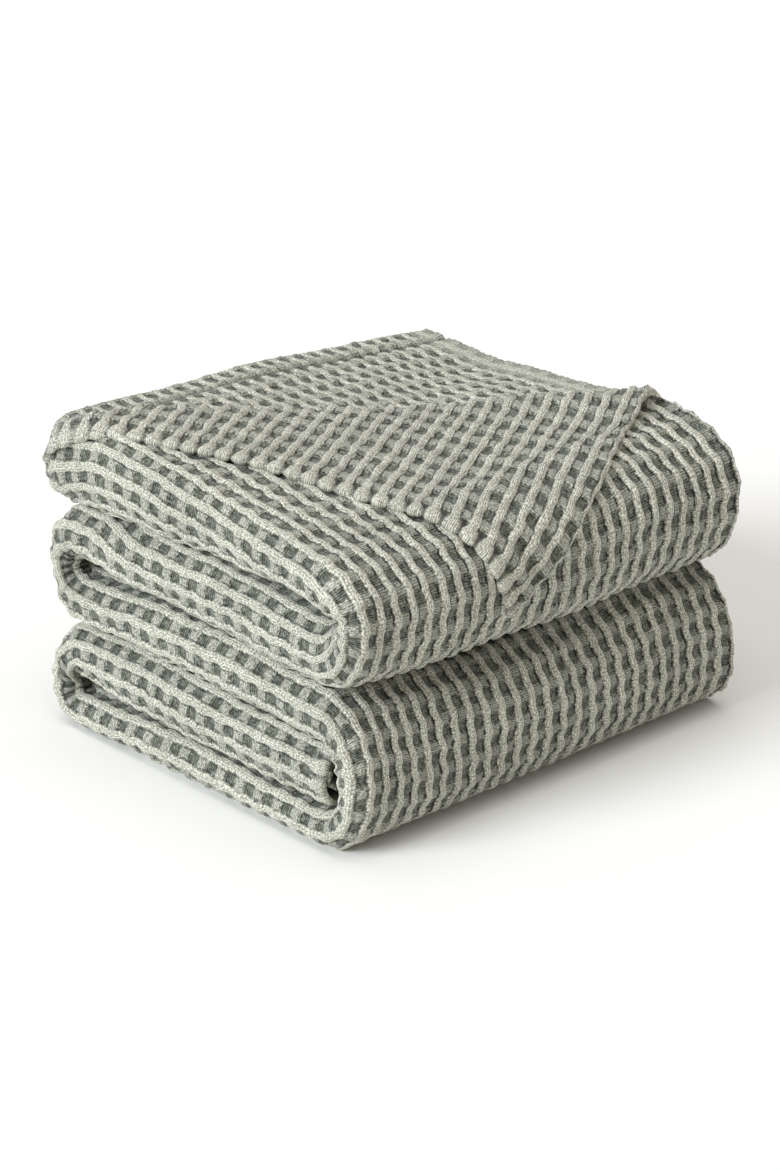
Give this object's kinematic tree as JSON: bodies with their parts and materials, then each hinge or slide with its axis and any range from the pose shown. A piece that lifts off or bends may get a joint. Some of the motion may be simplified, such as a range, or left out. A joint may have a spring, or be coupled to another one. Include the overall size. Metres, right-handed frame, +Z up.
{
  "type": "folded waffle weave cotton blanket",
  "caption": "Throw blanket of thick waffle weave cotton, folded into a soft stack with its top corner turned over and hanging down the near side.",
  "frame": {"origin": "centre of the folded stack's underside, on the surface it rests on", "axes": "+X across the plies, away from the folded left face; +Y along the passes, away from the near side with the turned corner; +Z up"},
  "size_m": [0.325, 0.2826, 0.2075],
  "materials": {
    "waffle_cotton": "matte woven cotton, light ribs with sage green squares"
  },
  "bodies": {
    "root": {"blanket": "waffle_cotton"}
  },
  "joints": []
}
